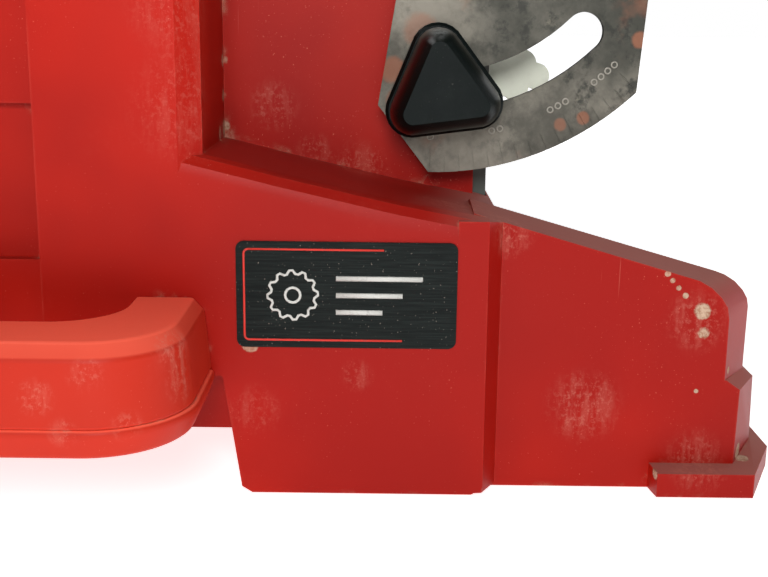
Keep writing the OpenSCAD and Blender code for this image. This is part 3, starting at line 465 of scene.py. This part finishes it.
def soften(node, width, segments=2, angle=28, merge=True):
    """Rounds a CAD node's sharp edges with modifiers, so that they catch the light."""
    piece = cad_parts[node]
    for polygon in piece.data.polygons:
        polygon.use_smooth = True
    weld = piece.modifiers.new("weld", "WELD")
    weld.merge_threshold = 0.00001
    if merge:
        flat = piece.modifiers.new("flat", "DECIMATE")
        flat.decimate_type = "DISSOLVE"
        flat.angle_limit = math.radians(0.6)
    bevel = piece.modifiers.new("bevel", "BEVEL")
    bevel.width = width
    bevel.segments = segments
    bevel.limit_method = "ANGLE"
    bevel.angle_limit = math.radians(angle)
    bevel.use_clamp_overlap = True
    bevel.miter_outer = "MITER_ARC"
    even = piece.modifiers.new("even", "WEIGHTED_NORMAL")
    even.weight = 80
    even.keep_sharp = False


def paint(node, material):
    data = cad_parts[node].data
    data.materials.clear()
    data.materials.append(material)


RED = rgb(172, 21, 3)
RED_DEEP = rgb(148, 11, 1)

# Copper-coloured tints on the gantry plate: place in (y, z), radius, amount
COPPER_TINTS = (
    ((0.1300, 0.1294), 0.0080, 0.8), ((0.1386, 0.1422), 0.0100, 0.5), ((0.1923, 0.1147), 0.0040, 0.8),
    ((0.1849, 0.1124), 0.0040, 0.7), ((0.2094, 0.1399), 0.0050, 0.9), ((0.1310, 0.1200), 0.0060, 0.6),
)
# Caked cement: place, radius, amount
HOUSING_DEPOSITS = (
    ((0.492, 0.2149, 0.0706), 0.0018, 0.7), ((0.492, 0.2165, 0.0685), 0.0016, 0.7),
    ((0.492, 0.2185, 0.0662), 0.0016, 0.7), ((0.492, 0.2208, 0.0638), 0.0018, 0.8),
    ((0.490, 0.2264, 0.0590), 0.0062, 0.9), ((0.490, 0.2272, 0.0520), 0.0050, 0.85),
    ((0.490, 0.2279, 0.0450), 0.0028, 0.7), ((0.490, 0.2282, 0.0394), 0.0022, 0.7),
    ((0.490, 0.2328, 0.0352), 0.0026, 0.7), ((0.492, 0.2262, 0.0331), 0.0014, 0.8),
    ((0.490, 0.2382, 0.0392), 0.0042, 0.85), ((0.498, 0.2117, 0.0080), 0.0052, 0.85),
    ((0.488, 0.2436, 0.0115), 0.0060, 0.8), ((0.447, 0.0739, 0.1315), 0.0042, 0.6),
    ((0.447, 0.0736, 0.1200), 0.0040, 0.6), ((0.447, 0.0734, 0.1095), 0.0050, 0.7),
    ((0.456, 0.0720, 0.1080), 0.0060, 0.5), ((0.500, 0.0876, 0.0490), 0.0050, 0.7),
    ((-0.492, 0.2200, 0.0600), 0.0080, 0.8), ((-0.492, -0.2100, 0.0900), 0.0070, 0.7),
    ((0.492, -0.2050, 0.1300), 0.0080, 0.7), ((-0.500, 0.1200, 0.0800), 0.0050, 0.7),
)
# Smeared film: place, radius, amount
HOUSING_SMEARS = (
    ((0.490, 0.1650, 0.0830), 0.010, 0.8), ((0.492, 0.1913, 0.0280), 0.014, 0.8),
    ((0.492, 0.2250, 0.0560), 0.012, 0.7), ((0.496, 0.2270, 0.0110), 0.012, 0.8),
    ((0.445, 0.0900, 0.1168), 0.010, 0.7), ((0.447, 0.1041, 0.1014), 0.008, 0.6),
    ((0.447, 0.1194, 0.0955), 0.012, 0.7), ((0.500, 0.1201, 0.0395), 0.006, 0.5),
    ((0.500, 0.0887, 0.0279), 0.010, 0.4), ((0.497, 0.0698, 0.1200), 0.020, 0.4),
    ((0.497, 0.0698, 0.1500), 0.020, 0.4), ((0.480, 0.1500, 0.0890), 0.014, 0.7),
    ((-0.492, 0.1900, 0.0500), 0.040, 0.7), ((-0.500, -0.1200, 0.0800), 0.060, 0.6),
    ((0.500, -0.1200, 0.1200), 0.070, 0.2),
)
HANDLE_DEPOSITS = (
    ((0.540, 0.0745, 0.0610), 0.0034, 0.6), ((0.540, 0.0749, 0.0560), 0.0026, 0.5),
)
HANDLE_SMEARS = (
    ((0.540, 0.0740, 0.0600), 0.010, 1.0), ((0.540, 0.0750, 0.0500), 0.009, 0.7),
    ((0.556, 0.0387, 0.0499), 0.006, 0.8), ((0.556, 0.0516, 0.0560), 0.006, 0.7),
    ((0.556, 0.0457, 0.0407), 0.005, 0.7), ((0.556, 0.0628, 0.0421), 0.006, 0.7),
    ((-0.550, 0.0300, 0.0500), 0.030, 0.7),
)


# Nodes with holes through large flat faces, whose triangles stay as they are
UNMERGED = ("end_housing_right", "end_housing_left", "water_tub", "cord_gland")


def dress_nodes():
    """Every CAD node gets its material and its edge rounding."""
    housing = red_plastic("red_moulding", RED, RED_DEEP, 0.13, HOUSING_DEPOSITS, HOUSING_SMEARS)
    # The handle's red is a lighter, more orange copy of the housing red: painted light for its up- and
    # front-facing surfaces, with a painted highlight on its tops
    lit_grip_red = red_plastic("red_grip_painted_light", rgb(192, 46, 26), rgb(178, 38, 20), 0.15, HANDLE_DEPOSITS, HANDLE_SMEARS,
                       top_dust=0.1, top_highlight_paint=rgb(250, 100, 76))
    black = black_plastic("black_moulding", rgb(22, 24, 25))
    knob = black_plastic("knob_black", rgb(1, 9, 8), 0.1, 0.33, 1400, 0.8)
    tub = black_plastic("tub_black", rgb(40, 44, 46), 0.5, 0.5, 700)
    sheet = galvanised("galvanised_sheet")
    plate = tarnished_steel("tarnished_plate")
    coated = painted("black_coat", rgb(34, 38, 40))
    bright = plain_metal("zinc_plated", rgb(176, 174, 166), 0.34)
    rail = plain_metal("drawn_aluminium", rgb(200, 203, 206), 0.3, (30, 1400, 1400), 0.12)
    casting = plain_metal("die_casting", rgb(166, 168, 170), 0.5, (300, 300, 300), 0.2)
    zinc = plain_metal("zinc_casting", rgb(236, 240, 224), 0.6, (260, 260, 260), 0.2, 0.2)
    bronze = plain_metal("bearing_bronze", rgb(178, 138, 78), 0.3)
    blade = plain_metal("blade_steel", rgb(188, 190, 192), 0.28, (900, 60, 900), 0.35)
    core = plain_metal("laminated_core", rgb(96, 90, 84), 0.5, (300, 2600, 300), 0.4)
    red_coat = painted("red_coat", rgb(176, 26, 16))
    rubber_black = rubber("rubber_black", rgb(30, 30, 30))
    glide = print_ink("glide_white", rgb(224, 222, 212))
    looks = {
        "end_housing_right": (housing, 1.6), "end_housing_left": (housing, 1.6),
        "carry_handle_right": (lit_grip_red, 1.2), "carry_handle_left": (lit_grip_red, 1.2),
        "carry_handle_covers": (lit_grip_red, 1.4), "rubber_feet": (rubber_black, 0.6),
        "base_rails": (coated, 0.4), "water_tub": (tub, 1.5), "drain_plug": (rubber_black, 0.7),
        "pump_housing": (black, 1.2), "pump_impeller": (glide, 0.3), "table_main": (sheet, 0.5),
        "table_strip": (sheet, 0.5), "table_bearers": (sheet, 0.4),
        "pivot_plates": (painted("grey_coat", rgb(84, 90, 85)), 0.3),
        "pivot_bushes": (bronze, 0.3), "clamp_studs": (bright, 0.3), "tilt_stops": (zinc, 0.8),
        "fence_bar": (rail, 0.5), "fence_scale": (glide, 0),
        "name_plate": (plate_film("plate_film"), 0.1),
        "gantry_plate_right": (plate, 0.25), "gantry_plate_left": (plate, 0.25),
        "guide_rail": (rail, 0.8), "gantry_bolts": (bright, 0.3), "pivot_bolts": (bright, 0.4),
        "tilt_knob_right": (knob, 1.0), "tilt_knob_left": (knob, 1.0),
        "carriage_frame": (red_coat, 2.0), "roller_pins": (bright, 0.4), "roller_front": (bright, 0.4),
        "roller_rear": (bright, 0.4), "glide_pads": (glide, 0.3), "carriage_lock_knob": (knob, 0.8),
        "head_pivot_pin": (bright, 0.5), "depth_stop_screw": (knob, 0.6), "head_arm": (casting, 1.2),
        "motor_housing": (housing, 1.0), "motor_end_cap": (black, 1.2), "stator": (core, 0.4),
        "motor_bearings": (bright, 0.3), "blade_guard": (red_coat, 0.8), "guard_cover": (coated, 0.5),
        "head_screws": (bright, 0.4), "water_nozzle": (black, 0.5), "handle_inner_half": (black, 4.0),
        "handle_outer_half": (black, 4.0), "switch_box": (black, 1.5),
        "on_button": (print_ink("button_green", rgb(36, 130, 54)), 0.8),
        "off_button": (print_ink("button_red", rgb(180, 24, 20)), 0.8), "cord_gland": (black, 0.6),
        "spindle_shaft": (bright, 0.4), "rotor": (core, 0.4), "cooling_fan": (black, 0.3),
        "saw_blade": (blade, 0.2), "blade_flanges": (bright, 0.5), "stop_block": (black, 1.0),
        "stop_arm": (rail, 0.8), "block_knob": (knob, 0.7), "arm_knob": (knob, 0.7),
    }
    for node, (material, width) in looks.items():
        paint(node, material)
        if width:
            soften(node, width * MM, 3 if width >= 1 else 2, merge=node not in UNMERGED)


# ------------------------------------------------------------------ small extra pieces

def mesh_piece(name, verts, faces, body, material, smooth=True):
    """A new mesh piece on a body."""
    mesh = bpy.data.meshes.new(name)
    mesh.from_pydata([tuple(v) for v in verts], [], faces)
    mesh.update()
    for polygon in mesh.polygons:
        polygon.use_smooth = smooth
    mesh.materials.append(material)
    piece = bpy.data.objects.new(name, mesh)
    bpy.context.collection.objects.link(piece)
    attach(piece, body)
    return piece


def stroke_mesh(paths, radius, flatten, lift, to_world):
    """Thin raised lines along 2-D paths: each is a flattened tube laid on a face by to_world(u, v, w)."""
    sides = 6
    verts, faces = [], []
    for path, closed in paths:
        start = len(verts)
        count = len(path)
        for i, (u, v) in enumerate(path):
            before = path[i - 1] if closed or i else path[0]
            after = path[(i + 1) % count] if closed or i < count - 1 else path[-1]
            along = Vector((after[0] - before[0], after[1] - before[1]))
            if along.length < 1e-9:
                along = Vector((1, 0))
            across = Vector((-along.y, along.x)).normalized()
            for s in range(sides):
                a = 2 * math.pi * s / sides
                side = across * radius * math.cos(a)
                verts.append(to_world(u + side.x, v + side.y, lift + flatten * math.sin(a)))
        rings = count if closed else count - 1
        for i in range(rings):
            a, b = start + i * sides, start + ((i + 1) % count) * sides
            for s in range(sides):
                t = (s + 1) % sides
                faces.append((a + s, a + t, b + t, b + s))
        if not closed:
            faces.append(tuple(start + s for s in reversed(range(sides))))
            faces.append(tuple(start + (count - 1) * sides + s for s in range(sides)))
    return verts, faces


def arc(cx, cy, rx, ry, a0, a1, steps=12):
    return [(cx + rx * math.cos(math.radians(a0 + (a1 - a0) * i / steps)),
             cy + ry * math.sin(math.radians(a0 + (a1 - a0) * i / steps))) for i in range(steps + 1)]


def loop(cx, cy, rx, ry, steps=16):
    return arc(cx, cy, rx, ry, 0, 360, steps)[:-1]


# Plain ring in a box 0.6 wide and 1 high
RING = loop(0.3, 0.5, 0.2, 0.2)


def stamped_rings(side):
    """Plain rings at the long ticks of one tilt scale: one at the first, four at the last."""
    height, pitch = 4.6 * MM, 2.8 * MM
    radius = 82.5 * MM
    paths = []
    for degrees, count in ((0, 1), (15, 2), (30, 3), (45, 4)):
        centre = math.radians(SCALE_ZERO + degrees - (2.5 if count == 4 else 0))
        width = pitch * (count - 1) + 0.6 * height
        for i in range(count):
            laid = []
            for x, y in RING:
                turn = centre + (i * pitch + x * height - width / 2) / radius
                reach = radius + (0.5 - y) * height
                laid.append((CUT_Y + reach * math.sin(turn), TABLE_Z - reach * math.cos(turn)))
            paths.append((laid, True))

    def on_plate(y, z, out):
        return (side * (PLATE_FRONT + out), y, z)
    verts, faces = stroke_mesh(paths, 0.28 * MM, 0.12 * MM, 0.0, on_plate)
    if side < 0:
        faces = [tuple(reversed(f)) for f in faces]
    name = "scale_rings_" + ("right" if side > 0 else "left")
    return mesh_piece(name, verts, faces, "gantry", ring_metal)


def plate_frame():
    """Thin red frame line on the name plate, with a plain blade mark and three bars."""
    low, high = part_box("name_plate")
    front = high.x + 0.05 * MM
    inset, turn = 2.4 * MM, 1.4 * MM
    y0, y1 = low.y + inset, high.y - inset
    z0, z1 = low.z + inset, high.z - inset
    reach = y0 + (y1 - y0) * 0.68
    outline = [(reach, z1), (y0 + turn, z1)]
    outline += [(y, z) for y, z in arc(y0 + turn, z1 - turn, turn, turn, 90, 180, 6)]
    outline += [(y, z) for y, z in arc(y0 + turn, z0 + turn, turn, turn, 180, 270, 6)]
    outline += [(y1 - 14 * MM, z0)]

    def on_face(y, z, out):
        return (front + out, y, z)
    verts, faces = stroke_mesh([(outline, False)], 0.33 * MM, 0.06 * MM, 0.0, on_face)
    mesh_piece("plate_line", verts, faces, "base", print_ink("line_red", rgb(206, 52, 42)))
    # Blade mark: a toothed ring; and three plain bars
    cy, cz, ring = low.y + 17 * MM, (low.z + high.z) / 2, 7.6 * MM
    teeth = 12
    rim = []
    for i in range(teeth * 4):
        a = 2 * math.pi * i / (teeth * 4)
        r = ring * (1.0 if i % 4 < 2 else 0.86)
        rim.append((cy + r * math.cos(a), cz + r * math.sin(a)))
    paths = [(rim, True), (loop(cy, cz, ring * 0.3, ring * 0.3), True)]
    verts, faces = stroke_mesh(paths, 0.42 * MM, 0.06 * MM, 0.0, on_face)
    for i, length in enumerate((26, 20, 14)):
        z = cz + (1 - i) * 5.2 * MM
        bar = [(cy + 13 * MM, z), (cy + (13 + length) * MM, z)]
        more, sides = stroke_mesh([(bar, False)], 0.8 * MM, 0.06 * MM, 0.0, on_face)
        faces += [tuple(v + len(verts) for v in f) for f in sides]
        verts += more
    mesh_piece("plate_mark", verts, faces, "base", print_ink("mark_grey", rgb(196, 196, 190)))


ring_metal = plain_metal("ring_metal", rgb(150, 146, 136), 0.5, (300, 300, 300), 0.5, 0.6)


# ------------------------------------------------------------------ build

make_camera()
make_studio()
dress_nodes()
for end in (1, -1):
    stamped_rings(end)
plate_frame()
